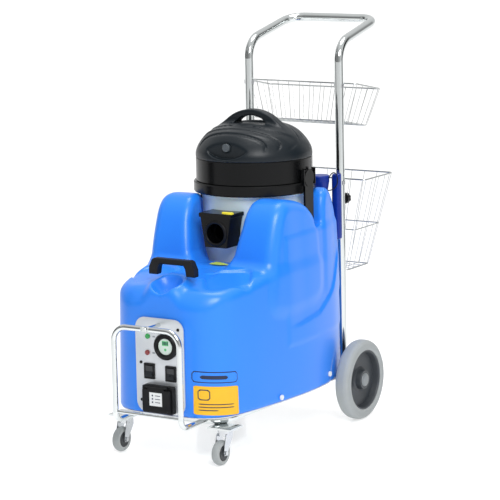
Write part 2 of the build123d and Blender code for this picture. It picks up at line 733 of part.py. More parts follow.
drum_ring = turned_on_drum_axis([
    (DRUM_R - 6, DRUM_TOP_Z), (RING_R - 2, DRUM_TOP_Z), (RING_R, DRUM_TOP_Z + 3), (RING_R, HEAD_Z - 4),
    (RING_R - 3, HEAD_Z - GAP), (DRUM_R, HEAD_Z - GAP), (DRUM_R, DRUM_TOP_Z + 6), (DRUM_R - 6, DRUM_TOP_Z + 6),
])
LATCH_Y = 61.0
LATCH_PIN_X, LATCH_PIN_Z = 188.0, 806.0
with drum_ring:
    for side in (-1, 1):
        with Locations((side * 192, LATCH_Y, HEAD_Z - 7)):
            Box(20, 58, 80, mode=Mode.SUBTRACT)
        # lugs that hold the latch pin
        with Locations((side * LATCH_PIN_X, LATCH_Y - 31.5, 787), (side * LATCH_PIN_X, LATCH_Y + 31.5, 787)):
            Box(12, 4, 50)
        with Locations(cross_plane(side * LATCH_PIN_X, LATCH_Y, LATCH_PIN_Z)):
            Cylinder(2 + FIT, 80, mode=Mode.SUBTRACT)
save(drum_ring, "drum_ring")

INLET_FRONT_Y = -176.0
CATCH_PIN = (54, -171)
with BuildPart() as inlet_box:
    with BuildSketch(cross_plane(0, INLET_FRONT_Y, 0)):
        with BuildLine():
            Polyline((-38, 590), (38, 590), (53, 682), (-53, 682), close=True)
        make_face()
    extrude(amount=-85)
    with BuildSketch(cross_plane(0, INLET_FRONT_Y - 3, 688)):
        RectangleRounded(114, 13, 3)
    extrude(amount=-85)
    with BuildSketch(Plane.XY.offset(580)):
        with Locations((0, VAC_Y)):
            Circle(DRUM_R + 1)
    extrude(amount=130, mode=Mode.SUBTRACT)
    with Locations(Plane(origin=(0, INLET_FRONT_Y, INLET_Z), z_dir=(0, 1, 0))):
        Cylinder(INLET_R, 80, mode=Mode.SUBTRACT)
        Cylinder(INLET_R - 3, 240, mode=Mode.SUBTRACT)
    with Locations((*CATCH_PIN, 692)):
        Cylinder(2.5 + FIT, 8, mode=Mode.SUBTRACT)
save(inlet_box, "inlet_box")

with BuildPart() as inlet_catch:
    with BuildSketch(Plane.XY.offset(694.5 + GAP)):
        with BuildLine():
            Polyline((24, -176), (50, -179), (60, -177), (61, -168), (50, -164), (24, -169), close=True)
        make_face()
    extrude(amount=6)
    fillet(inlet_catch.faces().sort_by(Axis.Z)[-1].edges(), 1.5)
    with BuildSketch(Plane.XY.offset(690)):
        with Locations(CATCH_PIN):
            Circle(2.5)
    extrude(amount=5)
save(inlet_catch, "inlet_catch")

for side in (-1, 1):
    with BuildPart() as side_latch:
        # round boss on the outside of the head
        with BuildSketch(Plane(origin=(side * 183.5, LATCH_Y, 783), z_dir=(side, 0, 0))):
            Circle(26.5)
        extrude(amount=9)
        # arm that hangs down beside the drum
        with BuildSketch(Plane.YZ.offset(side * 184)):
            with BuildLine():
                Polyline((37, 783), (85, 783), (85, 654), (72, 654), (37, 698), close=True)
            make_face()
        extrude(amount=side * 7)
        with Locations(cross_plane(side * LATCH_PIN_X, LATCH_Y, LATCH_PIN_Z)):
            Cylinder(2, 66)
    save(side_latch, f"side_latch_{side_name(side)}")

# ---------------------------------------------------------------- suction head
save(
    turned_on_drum_axis([
        (52, HEAD_Z), (HEAD_R - 2, HEAD_Z), (HEAD_R, HEAD_Z + 2), (HEAD_R, SEAM_Z - 3), (HEAD_R - 2, SEAM_Z),
        (HEAD_R - 6, SEAM_Z), (HEAD_R - 6, HEAD_Z + 6), (52, HEAD_Z + 6),
    ]),
    "head_base",
)

BUTTON_Y, BUTTON_Z, BUTTON_R = -104.0, 885.0, 12.7
DOME_OUTSIDE = [(178.8, 862), (171.5, 880), (158.5, 899), (139, 919), (113, 934), (80, 943), (0, DOME_Z)]
DOME_INSIDE = [(172.5, 861), (165.5, 878), (152.5, 896), (133, 914), (108, 927), (78, 933), (0, 936)]


def dome_solid(foot_r, outline):
    with BuildPart() as solid:
        with BuildSketch(cross_plane(0, VAC_Y, 0)):
            with BuildLine():
                Spline((foot_r, SEAM_Z), *outline)
                Polyline(outline[-1], (0, SEAM_Z), (foot_r, SEAM_Z))
            make_face()
        revolve(axis=Axis((0, VAC_Y, 0), (0, 0, 1)))
    return solid.part


def eye_pocket(grow):
    """Lens-shaped recess in the front of the dome, around the release button."""
    with BuildPart() as pocket:
        with BuildSketch(cross_plane(0, BUTTON_Y + grow, BUTTON_Z)):
            Ellipse(72 + grow, 34 + grow)
        extrude(amount=80)
    return pocket.part


with BuildPart() as dome_hollow:
    add(dome_solid(HEAD_R - 6, DOME_INSIDE))
    add(eye_pocket(4), mode=Mode.SUBTRACT)

with BuildPart() as head_dome:
    add(dome_solid(HEAD_R, DOME_OUTSIDE))
    # arched carrying handle across the top
    with BuildSketch(cross_plane(0, VAC_Y, 0)):
        with BuildLine():
            ThreePointArc((-112, 929), (0, 987), (112, 929))
            Line((112, 929), (64, 929))
            ThreePointArc((64, 929), (0, 968), (-64, 929))
            Line((-64, 929), (-112, 929))
        make_face()
    extrude(amount=17, both=True)
    # finger room under the handle
    with Locations((0, VAC_Y, 940 + 12)):
        Box(92, 34, 24, mode=Mode.SUBTRACT)
    with Locations((0, VAC_Y - 31, 940 + 30), (0, VAC_Y + 31, 940 + 30)):
        Box(92, 28, 60, mode=Mode.SUBTRACT)
    add(dome_hollow.part, mode=Mode.SUBTRACT)
    add(eye_pocket(0), mode=Mode.SUBTRACT)
    with Locations(cross_plane(0, BUTTON_Y, BUTTON_Z)):
        Cylinder(BUTTON_R + GAP, 20, mode=Mode.SUBTRACT)
    with Locations(cross_plane(0, BUTTON_Y + 19, BUTTON_Z)):
        Cylinder(BUTTON_R + 4, 30, mode=Mode.SUBTRACT)
save(head_dome, "head_dome")

with BuildPart() as head_button:
    with BuildSketch(cross_plane(0, BUTTON_Y + 4 + GAP, BUTTON_Z)):
        Circle(BUTTON_R)
    extrude(amount=11)
    fillet(head_button.faces().sort_by(Axis.Y)[0].edges(), 2)
    with BuildSketch(cross_plane(0, BUTTON_Y + 4 + GAP, BUTTON_Z)):
        Circle(BUTTON_R + 3)
    extrude(amount=-2)
save(head_button, "head_button")

with BuildPart() as suction_motor:
    with Locations((0, VAC_Y, 850)):
        Cylinder(56, 90)
    with Locations((0, VAC_Y, 802)):
        Cylinder(74, 6)
    with Locations((0, VAC_Y, 790)):
        Cylinder(5, 24)
    with Locations((0, VAC_Y, HEAD_Z + 6 + 11)):
        with PolarLocations(71, 3, start_angle=30):
            Cylinder(2.8, 22)
save(suction_motor, "suction_motor")

with BuildPart() as fan:
    with BuildSketch(Plane.XY.offset(782)):
        with Locations((0, VAC_Y)):
            Circle(64)
            Circle(5 + FIT, mode=Mode.SUBTRACT)
    extrude(amount=2)
    with BuildSketch(Plane.XY.offset(784)):
        with Locations((0, VAC_Y)):
            Circle(14)
            Circle(5 + FIT, mode=Mode.SUBTRACT)
    extrude(amount=8)
    with Locations((0, VAC_Y, 787.5)):
        with PolarLocations(38, 8):
            Box(50, 2, 7)
save(fan, "fan")

save(
    turned_on_drum_axis([
        (0, 660), (80, 660), (80, HEAD_Z), (72, HEAD_Z), (72, 664), (0, 664),
    ]),
    "filter_cartridge",
)

float_cage = turned_on_drum_axis([(0, 598), (34, 598), (34, 660), (30, 660), (30, 602), (0, 602)])
with float_cage:
    with Locations((0, VAC_Y, 628)):
        with PolarLocations(32, 6):
            Box(14, 18, 36, mode=Mode.SUBTRACT)
save(float_cage, "float_cage")

with BuildPart() as float_ball:
    with Locations((0, VAC_Y, 602 + GAP + 24)):
        Sphere(24)
save(float_ball, "float_ball")


# ---------------------------------------------------------------- wire baskets
def basket(rim_plane, rim_x, rim_y, foot_x, foot_y, foot_inset, depth):
    """Open tray with the true outer shape of a wire basket; wall_t stands for the wire."""
    wall_t = 1.5
    with BuildPart() as tray:
        for grow, mode in ((0, Mode.ADD), (-wall_t, Mode.SUBTRACT)):
            floor = -depth - grow
            with BuildSketch(rim_plane.offset(0.01 if grow else 0)):
                with Locations((0, rim_y / 2)):
                    Rectangle(2 * (rim_x + grow), rim_y + 2 * grow)
            with BuildSketch(rim_plane.offset(floor)):
                with Locations((0, foot_inset + foot_y / 2)):
                    Rectangle(2 * (foot_x + grow), foot_y + 2 * grow)
            loft(mode=mode)
    return tray


UPPER_RIM = Plane(origin=(0, 330, 1047), x_dir=(1, 0, 0), z_dir=(0, 33, 163))
save(basket(UPPER_RIM, 209.8, 166, 172, 142, 23, 124), "upper_basket")

LOWER_RIM = Plane.XY.move(Location((0, 318, 747)))
lower_basket = basket(LOWER_RIM, 243.8, 186, 165, 145, 17, 302)
with lower_basket:
    for side in (-1, 1):
        with Locations(cross_plane(side * UPRIGHT_X, 318, KNOB_Z)):
            Cylinder(26, 40, mode=Mode.SUBTRACT)
save(lower_basket, "lower_basket")

with BuildPart() as basket_clips:
    for side in (-1, 1):
        for clip_z in (735, 1040):
            with BuildSketch(Plane.XY.offset(clip_z - 6)):
                with Locations((side * UPRIGHT_X, UPRIGHT_Y)):
                    Circle(TUBE_R + 2)
                    Circle(TUBE_R, mode=Mode.SUBTRACT)
                with Locations((side * UPRIGHT_X, UPRIGHT_Y - 13)):
                    Rectangle(40, 10, mode=Mode.SUBTRACT)
                with Locations((side * UPRIGHT_X, UPRIGHT_Y + TUBE_R + 2.9)):
                    Rectangle(14, 3.4)
            extrude(amount=12)
save(basket_clips, "basket_clips")

# ---------------------------------------------------------------- inside the body
with BuildPart() as boiler:
    with Locations(Plane(origin=(0, 100, 262), z_dir=(1, 0, 0))):
        Cylinder(85, 250)
    fillet(boiler.edges().filter_by(GeomType.CIRCLE), 20)
    for x in (-80, 80):
        with Locations((x, 100, (BODY_Z + 200) / 2)):
            Box(24, 120, 200 - BODY_Z)
save(boiler, "boiler")

with BuildPart() as pump:
    with Locations(Plane(origin=(-95, -170, 205), z_dir=(0, 1, 0))):
        Cylinder(42, 130)
    with Locations((-95, -255, 205)):
        Box(78, 44, 78)
    with Locations((-95, -190, (BODY_Z + 180) / 2)):
        Box(60, 150, 180 - BODY_Z)
save(pump, "pump")
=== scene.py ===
import math

import bpy
import numpy as np
from mathutils import Matrix, Vector


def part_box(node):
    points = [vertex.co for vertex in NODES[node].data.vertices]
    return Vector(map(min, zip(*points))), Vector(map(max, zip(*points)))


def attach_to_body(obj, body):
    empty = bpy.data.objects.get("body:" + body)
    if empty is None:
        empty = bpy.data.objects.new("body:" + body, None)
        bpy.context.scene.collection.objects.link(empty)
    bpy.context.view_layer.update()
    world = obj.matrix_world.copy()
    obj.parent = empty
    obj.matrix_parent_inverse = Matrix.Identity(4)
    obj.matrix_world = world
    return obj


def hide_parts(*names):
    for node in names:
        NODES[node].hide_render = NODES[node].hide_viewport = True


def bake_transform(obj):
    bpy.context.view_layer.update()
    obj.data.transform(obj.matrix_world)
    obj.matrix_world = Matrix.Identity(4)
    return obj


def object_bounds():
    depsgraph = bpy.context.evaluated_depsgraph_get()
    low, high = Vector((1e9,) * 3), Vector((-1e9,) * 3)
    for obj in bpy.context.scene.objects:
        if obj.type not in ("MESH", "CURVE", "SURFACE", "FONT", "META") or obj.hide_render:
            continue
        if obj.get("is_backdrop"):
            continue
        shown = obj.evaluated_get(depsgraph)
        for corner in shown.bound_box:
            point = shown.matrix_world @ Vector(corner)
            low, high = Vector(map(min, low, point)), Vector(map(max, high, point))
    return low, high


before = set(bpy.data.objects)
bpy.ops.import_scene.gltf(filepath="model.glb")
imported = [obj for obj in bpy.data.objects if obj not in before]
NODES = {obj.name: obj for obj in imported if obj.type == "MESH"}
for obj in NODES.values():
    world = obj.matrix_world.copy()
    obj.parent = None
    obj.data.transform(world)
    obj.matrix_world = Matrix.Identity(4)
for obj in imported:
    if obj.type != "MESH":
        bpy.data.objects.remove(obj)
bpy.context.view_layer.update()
MM = 0.001
METRE = 1000

# main lines of the machine, in millimetres
VAC_Y = 53.0            # axis of the drum and head
DECK_Z = 545.0          # deck in front of the drum
EAR_Z = 736.0           # top of the ears beside the drum
BODY_Z = 141.8          # underside of the body
SEAM_Z = 843.0          # seam between the head's base and its dome
FRONT_Y = -492          # front of the body at its foot
SADDLE_Z = 634          # shelf that the drum's ring sits over
WELL_R = 172            # well for the drum
DOME_WALL = 6           # thickness of the dome
BUTTON_Z = 885          # button and eye recess in the dome
INLET_Z = 633           # axis of the hose inlet
INLET_FACE_Y = -176     # front face of the hose inlet
BAFFLE_Y = -110         # baffle behind the hose inlet
BAFFLE_R = 44
PANEL_LABEL_Y = -492.35  # front face of the marks on the control panel


# ---------------------------------------------------------------- materials
def srgb(r, g, b):
    """Linear colour of an 8-bit sRGB one."""
    def linear(c):
        c = c / 255.0
        return c / 12.92 if c <= 0.04045 else ((c + 0.055) / 1.055) ** 2.4
    return (linear(r), linear(g), linear(b), 1.0)


def node(tree, kind, x, y, **values):
    """A new shader node at a place in its tree, with some of its inputs set."""
    n = tree.nodes.new(kind)
    n.location = (x, y)
    for name, value in values.items():
        n.inputs[name].default_value = value
    return n


def material(name, color, rough=0.4, metal=0.0, vary=0.08, blotch=7.0, grain=900.0, bump=0.15, bump_m=0.0002,
             rough_vary=0.08, stretch=(1, 1, 1), wear=0.0, wear_color=None, **extra):
    """Surface with a fine grain in its normal, soft blotches in its colour and gloss, and rubbed edges."""
    mat = bpy.data.materials.new(name)
    mat.use_nodes = True
    t = mat.node_tree
    t.nodes.clear()
    out = node(t, "ShaderNodeOutputMaterial", 800, 0)
    shader = node(t, "ShaderNodeBsdfPrincipled", 500, 0, Metallic=metal)
    for key, value in extra.items():
        shader.inputs[key.replace("_", " ")].default_value = value
    t.links.new(shader.outputs[0], out.inputs[0])
    where = node(t, "ShaderNodeTexCoord", -900, 0)
    mapping = node(t, "ShaderNodeMapping", -700, -200)
    mapping.inputs["Scale"].default_value = stretch
    t.links.new(where.outputs["Object"], mapping.inputs["Vector"])
    fine = node(t, "ShaderNodeTexNoise", -450, -300, Scale=grain, Detail=4.0, Roughness=0.6)
    t.links.new(mapping.outputs[0], fine.inputs["Vector"])
    relief = node(t, "ShaderNodeBump", 200, -300, Strength=bump, Distance=bump_m)
    t.links.new(fine.outputs["Fac"], relief.inputs["Height"])
    t.links.new(relief.outputs[0], shader.inputs["Normal"])
    soft = node(t, "ShaderNodeTexNoise", -450, 150, Scale=blotch, Detail=5.0, Roughness=0.55)
    t.links.new(where.outputs["Object"], soft.inputs["Vector"])
    gloss = node(t, "ShaderNodeMapRange", 200, -80)
    gloss.inputs["To Min"].default_value = max(0.02, rough - rough_vary)
    gloss.inputs["To Max"].default_value = min(1.0, rough + rough_vary)
    t.links.new(soft.outputs["Fac"], gloss.inputs["Value"])
    t.links.new(gloss.outputs[0], shader.inputs["Roughness"])
    tone = node(t, "ShaderNodeMix", 0, 250)
    tone.data_type = "RGBA"
    dark = tuple(c * (1 - vary) for c in color[:3]) + (1.0,)
    light = tuple(min(1.0, c * (1 + vary)) for c in color[:3]) + (1.0,)
    tone.inputs[6].default_value = dark
    tone.inputs[7].default_value = light
    t.links.new(soft.outputs["Fac"], tone.inputs[0])
    top = tone.outputs[2]
    if wear > 0:
        shape = node(t, "ShaderNodeNewGeometry", -450, 420)
        rubbed = node(t, "ShaderNodeMapRange", -150, 420)
        rubbed.inputs["From Min"].default_value = 0.52
        rubbed.inputs["From Max"].default_value = 0.62
        rubbed.inputs["To Max"].default_value = wear
        t.links.new(shape.outputs["Pointiness"], rubbed.inputs["Value"])
        edge = node(t, "ShaderNodeMix", 250, 300)
        edge.data_type = "RGBA"
        edge.inputs[7].default_value = wear_color or tuple(min(1.0, c * 1.9 + 0.05) for c in color[:3]) + (1.0,)
        t.links.new(rubbed.outputs[0], edge.inputs[0])
        t.links.new(top, edge.inputs[6])
        top = edge.outputs[2]
    t.links.new(top, shader.inputs["Base Color"])
    return mat


BLUE = material("moulded_blue", srgb(36, 130, 242), rough=0.31, vary=0.05, blotch=3.0, grain=350, bump=0.10,
                bump_m=0.0004, rough_vary=0.05, Specular_IOR_Level=0.5)
# painted shade: the body's blue darkened for the rear wall that stands in shade (lugs, filler neck), also used for the
# filler cap
DARK_BLUE_PAINTED_SHADE = material("dark_blue_painted_shade", srgb(8, 44, 138), rough=0.36, vary=0.10, grain=600, Specular_IOR_Level=0.3)
CHROME = material("chrome", (0.66, 0.69, 0.69, 1), rough=0.09, metal=1.0, vary=0.05, blotch=18, grain=160,
                  bump=0.04, rough_vary=0.04)
WIRE = material("wire_chrome", (0.52, 0.54, 0.54, 1), rough=0.2, metal=1.0, vary=0.12, blotch=30, rough_vary=0.08)
ZINC = material("zinc", (0.62, 0.64, 0.66, 1), rough=0.24, metal=1.0, vary=0.14, blotch=45, grain=250, bump=0.12,
                rough_vary=0.10)
STEEL = material("brushed_steel", (0.56, 0.56, 0.55, 1), rough=0.3, metal=1.0, vary=0.08, grain=500, bump=0.2,
                 stretch=(1, 0.04, 0.04))
PAN = material("pan_white", srgb(226, 229, 232), rough=0.42, vary=0.04, grain=700)
PANEL = material("panel_aluminium", (0.66, 0.69, 0.72, 1), rough=0.36, metal=0.55, vary=0.05, blotch=12,
                 grain=900, bump=0.25, stretch=(0.03, 1, 1))
BLACK = material("black_plastic", srgb(16, 17, 19), rough=0.4, vary=0.18, blotch=14, grain=1500, bump=0.35,
                 wear=0.12, wear_color=srgb(52, 54, 57), Specular_IOR_Level=0.2)
HEAD = material("head_plastic", srgb(17, 25, 31), rough=0.36, vary=0.12, blotch=9, grain=1300, bump=0.3,
                rough_vary=0.06, wear=0.12, wear_color=srgb(60, 68, 74), Specular_IOR_Level=0.3)
GLOSS_BLACK = material("gloss_black", srgb(7, 8, 9), rough=0.22, vary=0.12, blotch=10, grain=700, bump=0.08,
                       rough_vary=0.05, Specular_IOR_Level=0.22)
ROCKER = material("rocker_black", srgb(34, 38, 42), rough=0.3, vary=0.12, blotch=60, grain=1800, bump=0.2, wear=0.3)
# painted glow: the emission lifts the milky drum's colour where it stands in shade; the drum is no lamp
DRUM = material("drum_milky_painted_glow", srgb(214, 232, 240), rough=0.34, vary=0.05, blotch=6, grain=500, bump=0.1,
                Subsurface_Weight=0.15, Subsurface_Scale=0.01, Emission_Color=srgb(190, 214, 226),
                Emission_Strength=0.07)
YELLOW = material("yellow_plastic", srgb(243, 226, 50), rough=0.35, vary=0.06, blotch=80, grain=1500)
PALE_YELLOW = material("arrow_yellow", srgb(205, 226, 92), rough=0.45, vary=0.05, blotch=80, grain=1500)
PLATE_YELLOW = material("plate_yellow", srgb(236, 182, 30), rough=0.42, vary=0.05, blotch=30, grain=1500, bump=0.08)
INK = material("label_ink", srgb(22, 34, 66), rough=0.45, vary=0.12, blotch=90, grain=1500, bump=0.08)
PAPER = material("label_white", srgb(228, 231, 232), rough=0.5, vary=0.03, blotch=90, grain=1500, bump=0.08)
GREY_BUTTON = material("grey_button", srgb(70, 77, 82), rough=0.42, vary=0.10, blotch=120, grain=1800, bump=0.4)
FLOAT = material("float_white", srgb(226, 226, 218), rough=0.5, vary=0.04, grain=700)
FILTER = material("filter_paper", srgb(214, 206, 184), rough=0.9, vary=0.10, blotch=20, grain=300, bump=0.6,
                  stretch=(6, 6, 0.3))
TYRE = material("grey_rubber", srgb(156, 161, 162), rough=0.68, vary=0.09, blotch=25, grain=700, bump=0.35,
                rough_vary=0.10, wear=0.3, wear_color=srgb(206, 208, 206))
RIM = material("rim_grey", srgb(54, 59, 64), rough=0.45, vary=0.12, blotch=25, grain=900, bump=0.25, wear=0.25)
CAP = material("cap_grey", srgb(128, 133, 136), rough=0.34, vary=0.08, blotch=30, grain=900)
CORE = material("caster_core", srgb(38, 42, 46), rough=0.4, vary=0.10, blotch=60, grain=900)
GREEN_LENS = material("green_lens", srgb(14, 142, 62), rough=0.16, vary=0.15, blotch=260, bump=0.3, grain=600,
                      Coat_Weight=0.6, Emission_Color=srgb(20, 160, 70), Emission_Strength=0.12)
RED_LENS = material("red_lens", srgb(132, 22, 26), rough=0.16, vary=0.15, blotch=260, bump=0.3, grain=600,
                    Coat_Weight=0.6)
DIAL_GREEN = material("dial_green", srgb(84, 196, 120), rough=0.3, vary=0.10, blotch=140, bump=0.05, grain=900,
                      Coat_Weight=0.6)
DIAL_FACE = material("dial_face", srgb(214, 232, 222), rough=0.3, vary=0.05, blotch=120, grain=900, bump=0.05,
                     Coat_Weight=0.7)
LABEL_GREY = material("label_grey", srgb(150, 158, 164), rough=0.5, vary=0.08, blotch=150, grain=1500, bump=0.08)


def paint(mat, *names):
    """Give each named CAD node one material."""
    for name in names:
        mesh = NODES[name].data
        mesh.materials.clear()
        mesh.materials.append(mat)


paint(BLUE, "tank_body")
# darker blue here is painted shade of the body's blue at the rear wall
paint(DARK_BLUE_PAINTED_SHADE, "filler_neck", "filler_cap")
paint(CHROME, "chassis_frame", "push_handle", "front_guard", "guard_stay", "axle_spacers")
paint(STEEL, "rear_axle", "boiler")
paint(ZINC, "caster_heads", "caster_left_fork", "caster_right_fork", "caster_left_bolt", "caster_right_bolt",
      "basket_clips", "pump")
paint(PAN, "base_pan", "body_bolts")
paint(PANEL, "control_panel")
paint(BLACK, "lift_handle", "socket_box", "socket_lid", "control_box", "fan", "suction_motor",
      "float_cage", "gauge_bezel", "switch_bezels", "clamp_knob_left", "clamp_knob_right", "panel_screws")
paint(GLOSS_BLACK, "drum_ring", "inlet_box", "side_latch_left", "side_latch_right", "head_base")
paint(HEAD, "head_dome")
paint(ROCKER, "rocker_left", "rocker_right")
paint(GREEN_LENS, "green_lamp")
paint(RED_LENS, "red_lamp")
paint(DIAL_FACE, "gauge_body")
paint(DRUM, "recovery_drum")
paint(YELLOW, "inlet_catch")
paint(GREY_BUTTON, "head_button")
paint(FLOAT, "float_ball")
paint(FILTER, "filter_cartridge")
paint(WIRE, "upper_basket", "lower_basket")
paint(TYRE, "wheel_left_tyre", "wheel_right_tyre", "caster_left_tyre", "caster_right_tyre")
paint(RIM, "wheel_left_rim", "wheel_right_rim")
paint(CAP, "wheel_left_cap", "wheel_right_cap")
paint(CORE, "caster_left_core", "caster_right_core")


# ---------------------------------------------------------------- shapes from distance fields, in millimetres
def smooth_loop(points, steps):
    """Closed smooth curve through the points, as a polygon."""
    p = np.array(points, float)
    n = len(p)
    t = np.linspace(0, 1, steps, endpoint=False)[:, None]
    rows = []
    for i in range(n):
        a, b, c, d = p[i - 1], p[i], p[(i + 1) % n], p[(i + 2) % n]
        rows.append(0.5 * (2 * b + (c - a) * t + (2 * a - 5 * b + 4 * c - d) * t ** 2
                           + (3 * b - a - 3 * c + d) * t ** 3))
    return np.concatenate(rows)


def polygon_distance(u, v, polygon):
    """Signed distance in a plane to a closed polygon, negative inside."""
    a = np.array(polygon, float)
    b = np.roll(a, -1, axis=0)
    best = np.full(u.shape, 1e18)
    inside = np.zeros(u.shape, bool)
    for (ax, ay), (bx, by) in zip(a, b):
        ex, ey = bx - ax, by - ay
        length = ex * ex + ey * ey
        if length == 0:
            continue
        t = np.clip(((u - ax) * ex + (v - ay) * ey) / length, 0, 1)
        best = np.minimum(best, (u - ax - t * ex) ** 2 + (v - ay - t * ey) ** 2)
        crosses = (ay > v) != (by > v)
        if ey != 0:
            inside ^= crosses & (u < ax + (v - ay) * ex / ey)
    return np.where(inside, -1, 1) * np.sqrt(best)


def both(a, b, r):
    """Common part of two fields, with its outside corner rounded to radius r."""
    return np.minimum(-r, np.maximum(a, b)) + np.hypot(np.maximum(a + r, 0), np.maximum(b + r, 0))


def either(a, b, r):
    """Union of two fields, with its inside corner filled to radius r."""
    return np.maximum(r, np.minimum(a, b)) - np.hypot(np.maximum(r - a, 0), np.maximum(r - b, 0))


def cut(a, b, r):
    """Field a without field b, with the rim rounded to radius r."""
    return both(a, -b, r)


def box_field(x, y, z, low, high):
    """Signed distance to a box."""
    ox = np.maximum(low[0] - x, x - high[0])
    oy = np.maximum(low[1] - y, y - high[1])
    oz = np.maximum(low[2] - z, z - high[2])
    outside = np.sqrt(np.maximum(ox, 0) ** 2 + np.maximum(oy, 0) ** 2 + np.maximum(oz, 0) ** 2)
    return outside + np.minimum(np.maximum(np.maximum(ox, oy), oz), 0)


def step(low, high, value):
    """Smooth change from 0 at low to 1 at high."""
    t = np.clip((value - low) / (high - low), 0, 1)
    return t * t * (3 - 2 * t)


def net(field, low, h):
    """Surface of a sampled field: one point in each cell that it crosses, joined by quads."""
    inside = field < 0
    corners = [inside[i:inside.shape[0] - 1 + i, j:inside.shape[1] - 1 + j, k:inside.shape[2] - 1 + k]
               for i in (0, 1) for j in (0, 1) for k in (0, 1)]
    full = np.logical_and.reduce(corners)
    some = np.logical_or.reduce(corners)
    cells = np.argwhere(some & ~full)
    index = np.full(some.shape, -1, np.int64)
    index[tuple(cells.T)] = np.arange(len(cells))
    total = np.zeros((len(cells), 3))
    count = np.zeros(len(cells))
    offsets = np.array([(i, j, k) for i in (0, 1) for j in (0, 1) for k in (0, 1)])
    value = [field[tuple((cells + o).T)] for o in offsets]
    for i, first in enumerate(offsets):
        for j, second in enumerate(offsets):
            if j > i and np.abs(first - second).sum() == 1:
                a, b = value[i], value[j]
                hit = (a < 0) != (b < 0)
                t = np.where(hit, a / np.where(a == b, 1, a - b), 0)
                at = first + (second - first) * t[:, None]
                total += np.where(hit[:, None], at, 0)
                count += hit
    points = (cells + total / count[:, None]) * h + np.array(low)
    faces = []
    for axis in range(3):
        u, v = (axis + 1) % 3, (axis + 2) % 3
        first = [slice(None)] * 3
        second = [slice(None)] * 3
        first[axis] = slice(0, -1)
        second[axis] = slice(1, None)
        a, b = inside[tuple(first)], inside[tuple(second)]
        edges = np.argwhere(a != b)
        out = a[tuple(edges.T)]
        ok = (edges[:, u] > 0) & (edges[:, v] > 0) & (edges[:, u] < field.shape[u] - 1)
        ok &= edges[:, v] < field.shape[v] - 1
        edges, out = edges[ok], out[ok]
        quad = []
        for du, dv in ((-1, -1), (0, -1), (0, 0), (-1, 0)):
            cell = edges.copy()
            cell[:, u] += du
            cell[:, v] += dv
            quad.append(index[tuple(cell.T)])
        quad = np.stack(quad, axis=1)
        quad[~out] = quad[~out][:, ::-1]
        faces.append(quad)
    return points, np.concatenate(faces)


def attach(piece, body, replaced):
    """Put a piece in the scene, riding on a body, or fixed where it is when body is not a name, in place of some CAD
    nodes.
    """
    bpy.context.scene.collection.objects.link(piece)
    if isinstance(body, str):
        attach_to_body(piece, body)
    else:
        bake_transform(piece)
    if replaced:
        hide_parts(*replaced)
    return piece


def mesh_piece(name, points, faces, mats, body, replaced=(), smooth=True):
    """A named piece from points in millimetres."""
    mesh = bpy.data.meshes.new(name)
    mesh.from_pydata((np.array(points) * MM).tolist(), [], [list(map(int, f)) for f in faces])
    mesh.validate()
    mesh.update()
    for mat in mats:
        mesh.materials.append(mat)
    if smooth:
        mesh.polygons.foreach_set("use_smooth", [True] * len(mesh.polygons))
    return attach(bpy.data.objects.new(name, mesh), body, replaced)


def surface_of(shape, low, high, cell):
    """Points and faces of a shape's surface, sampled in a box."""
    axes = [np.arange(a, b + cell, cell) for a, b in zip(low, high)]
    samples = [axis.astype(np.float32) for axis in np.meshgrid(*axes, indexing="ij")]
    return net(shape(*samples), low, cell)


def relax(piece):
    """Even out the steps that the sampling leaves."""
    smoothing = piece.modifiers.new("relax", "SMOOTH")
    smoothing.factor = 0.5
    smoothing.iterations = 2


# ---------------------------------------------------------------- moulded body
HALF_PLAN = [(0, FRONT_Y), (95, -491), (157, -466), (197, -414), (217, -330), (230, -240), (241, -110), (243, -10),
             (235, 90), (220, 170), (188, 243), (138, 277), (0, 283)]
PLAN = smooth_loop(HALF_PLAN + [(-x, y) for x, y in HALF_PLAN[-2:0:-1]], 8)


def draft_at(z):
    """How far the body's side has leaned in at a height."""
    return np.where(z < DECK_Z, 9 * (z - BODY_Z) / (DECK_Z - BODY_Z), 9 + 7 * (z - DECK_Z) / (EAR_Z - DECK_Z))


